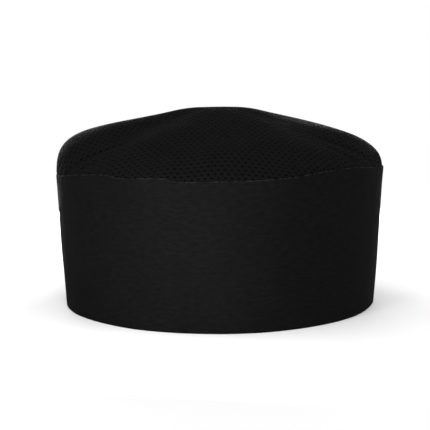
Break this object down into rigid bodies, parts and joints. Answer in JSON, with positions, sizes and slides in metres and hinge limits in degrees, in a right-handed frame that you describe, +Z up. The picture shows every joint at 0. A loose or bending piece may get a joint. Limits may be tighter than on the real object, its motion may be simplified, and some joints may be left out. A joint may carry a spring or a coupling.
{
  "type": "chef's pillbox cap",
  "caption": "Low round chef's cap with a tall plain cloth band, a perforated mesh crown rising to a low peak, and a hook-and-loop closing tab at the back.",
  "frame": {"origin": "centre of the head opening, in the plane of the hem", "axes": "+Z up through the crown, -Y to the front, +Y to the closing tab at the back, +X to the wearer's left"},
  "size_m": [0.202, 0.2065, 0.121],
  "materials": {
    "band_cloth": "matte black cotton-blend twill",
    "stiffener": "matte non-woven",
    "crown_mesh": "matte black perforated knit",
    "sweatband_terry": "matte black terry",
    "binding_tape": "black twill tape with a slight sheen",
    "loop_tape": "black looped pile",
    "hook_tape": "black moulded nylon hooks",
    "thread": "black spun polyester thread with a slight sheen",
    "label_satin": "black woven satin, blank"
  },
  "bodies": {
    "hat": {"outer_band": "band_cloth", "band_facing": "band_cloth", "band_stiffener": "stiffener", "mesh_crown": "crown_mesh", "sweatband": "sweatband_terry", "crown_binding": "binding_tape", "loop_tape": "loop_tape", "crown_seam_stitch": "thread", "binding_upper_stitch": "thread", "binding_lower_stitch": "thread", "sweatband_top_stitch": "thread", "sweatband_hem_stitch": "thread", "loop_tape_stitch": "thread", "under_end_stitch": "thread", "bartack_lower": "thread", "bartack_upper": "thread"},
    "closure_tab": {"tab_outer": "band_cloth", "tab_stiffener": "stiffener", "tab_facing": "band_cloth", "hook_tape": "hook_tape", "hook_tape_stitch": "thread", "tab_edge_stitch": "thread"},
    "care_label": {"care_label": "label_satin"}
  },
  "joints": [
    {"name": "tab_peel", "type": "hinge", "parent": "hat", "child": "closure_tab", "pos_m": [-0.03009, 0.0984, 0.0445], "axis": [-0.0164, 0.0536, 0.9984], "range_deg": [0, 120]},
    {"name": "label_flip", "type": "hinge", "parent": "hat", "child": "care_label", "pos_m": [0, 0.09548, 0.0752], "axis": [-1, 0, 0], "range_deg": [0, 120]}
  ]
}
